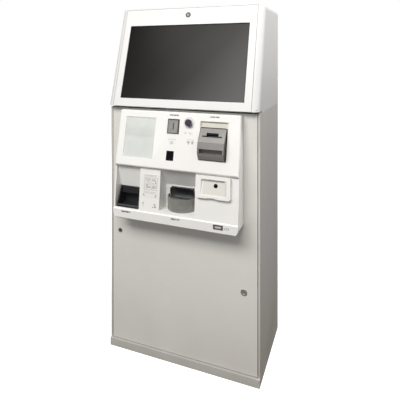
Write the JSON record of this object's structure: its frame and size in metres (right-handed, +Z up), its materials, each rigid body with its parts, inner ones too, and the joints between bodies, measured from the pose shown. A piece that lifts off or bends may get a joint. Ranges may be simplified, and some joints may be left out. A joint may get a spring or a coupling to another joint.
{
  "type": "ticket vending machine",
  "caption": "Floor-standing ticket vending machine with a leaning display head, a hinged door and a console for coins, notes, codes and tickets.",
  "frame": {"origin": "centre of the plinth's underside, at the middle of the floor anchors", "axes": "+Z up, front faces -Y, +X to the right of someone facing the machine"},
  "size_m": [0.7, 0.4848, 1.5569],
  "materials": {
    "cabinet_paint": "satin powder coat",
    "door_paint": "satin powder coat",
    "plinth_paint": "satin powder coat",
    "inner_steel": "zinc plated",
    "head_paint": "fine satin paint",
    "frame_white": "soft gloss",
    "console_white": "fine grain",
    "glass_dark": "polished",
    "clear_cover": "polished",
    "card": "matt",
    "lock_chrome": "polished",
    "steel": "brushed",
    "slot_metal": "satin",
    "dark_case": "fine grain",
    "black_plastic": "fine grain",
    "lever_dark": "gloss",
    "ring_grey": "satin",
    "smoked": "gloss",
    "surround_beige": "fine grain",
    "unit_grey": "fine grain",
    "cup_grey": "fine grain",
    "guide_print": "printed",
    "label_dark": "printed",
    "lens_black": "polished",
    "rubber_black": "matt",
    "paper": "paper",
    "brass_disc": "satin",
    "hopper_blue": "fine grain",
    "aluminium_case": "bead blasted"
  },
  "bodies": {
    "cabinet": {"plinth": "plinth_paint", "floor_plate": "inner_steel", "left_side_panel": "cabinet_paint", "right_side_panel": "cabinet_paint", "rear_panel": "cabinet_paint", "top_plate": "inner_steel", "hinge_pivots": "steel", "lock_keepers": "steel", "shelf": "inner_steel", "power_supply": "aluminium_case", "cable_gland": "black_plastic", "coin_hopper": "hopper_blue", "cash_box": "aluminium_case", "control_computer": "aluminium_case", "fan_frame": "dark_case", "gap_seal": "rubber_black", "rear_screws": "steel", "head_housing": "head_paint", "head_rear_cover": "cabinet_paint", "display_hinge_pins": "steel"},
    "display_door": {"display_frame": "frame_white", "display_glass": "glass_dark", "display_panel": "aluminium_case", "display_lock_body": "lock_chrome"},
    "display_lock": {"display_lock_plug": "lock_chrome"},
    "door": {"front_door": "door_paint", "upper_console_cover": "console_white", "lower_console_cover": "console_white", "notice_card": "card", "notice_window": "clear_cover", "coin_slot_plate": "slot_metal", "coin_acceptor": "dark_case", "lever_ring": "ring_grey", "sensor_window": "smoked", "banknote_surround": "surround_beige", "banknote_bezel": "unit_grey", "banknote_validator": "dark_case", "banknote_cassette": "dark_case", "ticket_tray": "black_plastic", "guide_plate": "guide_print", "coin_cup": "cup_grey", "coin_chute": "inner_steel", "reader_pod": "frame_white", "reader_lens": "lens_black", "label_plates": "label_dark", "door_lock_body": "lock_chrome", "key_switch_body": "black_plastic", "ticket_printer": "dark_case"},
    "door_lock": {"door_lock_plug": "lock_chrome"},
    "key_switch": {"key_switch_plug": "black_plastic"},
    "coin_lever": {"return_lever": "lever_dark"},
    "flap": {"ticket_flap": "black_plastic"},
    "upper_roller": {"upper_feed_roller": "rubber_black"},
    "lower_roller": {"lower_feed_roller": "rubber_black"},
    "printer_roll": {"paper_roll": "paper"},
    "printer_platen": {"platen_roller": "rubber_black"},
    "coin_disc": {"hopper_disc": "brass_disc"},
    "fan": {"fan_rotor": "dark_case"},
    "cash_lid": {"cash_box_lid": "aluminium_case"},
    "mains_switch": {"power_switch": "black_plastic"}
  },
  "joints": [
    {"name": "door_hinge", "type": "hinge", "parent": "cabinet", "child": "door", "pos_m": [-0.325, -0.188, 0.55], "axis": [0, 0, -1], "range_deg": [0, 110]},
    {"name": "display_hinge", "type": "hinge", "parent": "cabinet", "child": "display_door", "pos_m": [0, -0.2151, 1.11349], "axis": [1, 0, 0], "range_deg": [0, 50]},
    {"name": "display_lock_turn", "type": "hinge", "parent": "display_door", "child": "display_lock", "pos_m": [0, -0.10703, 1.51942], "axis": [0, -0.9613, 0.2756], "range_deg": [0, 90]},
    {"name": "door_lock_turn", "type": "hinge", "parent": "door", "child": "door_lock", "pos_m": [0.283, -0.195, 0.369], "axis": [0, -1, 0], "range_deg": [0, 90]},
    {"name": "key_switch_turn", "type": "hinge", "parent": "door", "child": "key_switch", "pos_m": [-0.301, -0.195, 0.534], "axis": [0, -1, 0], "range_deg": [-90, 0]},
    {"name": "coin_lever_turn", "type": "hinge", "parent": "door", "child": "coin_lever", "pos_m": [0.057, -0.23265, 1.052], "axis": [0, -0.9782, 0.2078], "range_deg": [-40, 0], "stiffness_Nm_per_rad": 0.05, "springref_deg": 17.19},
    {"name": "flap_swing", "type": "hinge", "parent": "door", "child": "flap", "pos_m": [-0.217, -0.232, 0.7515], "axis": [-1, 0, 0], "range_deg": [0, 65]},
    {"name": "upper_roller_spin", "type": "hinge", "parent": "door", "child": "upper_roller", "pos_m": [0.168, -0.173, 1.0122], "axis": [1, 0, 0], "continuous": true},
    {"name": "lower_roller_spin", "type": "hinge", "parent": "door", "child": "lower_roller", "pos_m": [0.168, -0.173, 0.9998], "axis": [1, 0, 0], "continuous": true},
    {"name": "paper_roll_spin", "type": "hinge", "parent": "door", "child": "printer_roll", "pos_m": [-0.217, -0.123, 0.83], "axis": [1, 0, 0], "continuous": true},
    {"name": "platen_spin", "type": "hinge", "parent": "door", "child": "printer_platen", "pos_m": [-0.217, -0.174, 0.7105], "axis": [1, 0, 0], "continuous": true},
    {"name": "hopper_disc_spin", "type": "hinge", "parent": "cabinet", "child": "coin_disc", "pos_m": [0.018, 0.031, 0.8], "axis": [0, 0, 1], "continuous": true},
    {"name": "fan_spin", "type": "hinge", "parent": "cabinet", "child": "fan", "pos_m": [0, 0.179, 0.46], "axis": [0, 1, 0], "continuous": true},
    {"name": "cash_lid_hinge", "type": "hinge", "parent": "cabinet", "child": "cash_lid", "pos_m": [-0.09, 0.151, 0.186], "axis": [-1, 0, 0], "range_deg": [0, 80]},
    {"name": "mains_switch_rock", "type": "hinge", "parent": "cabinet", "child": "mains_switch", "pos_m": [0.25, -0.025, 0.116], "axis": [-1, 0, 0], "range_deg": [0, 16]}
  ],
  "couplings": [
    {"joint": "lower_roller_spin", "follows": "upper_roller_spin", "ratio": -1}
  ]
}
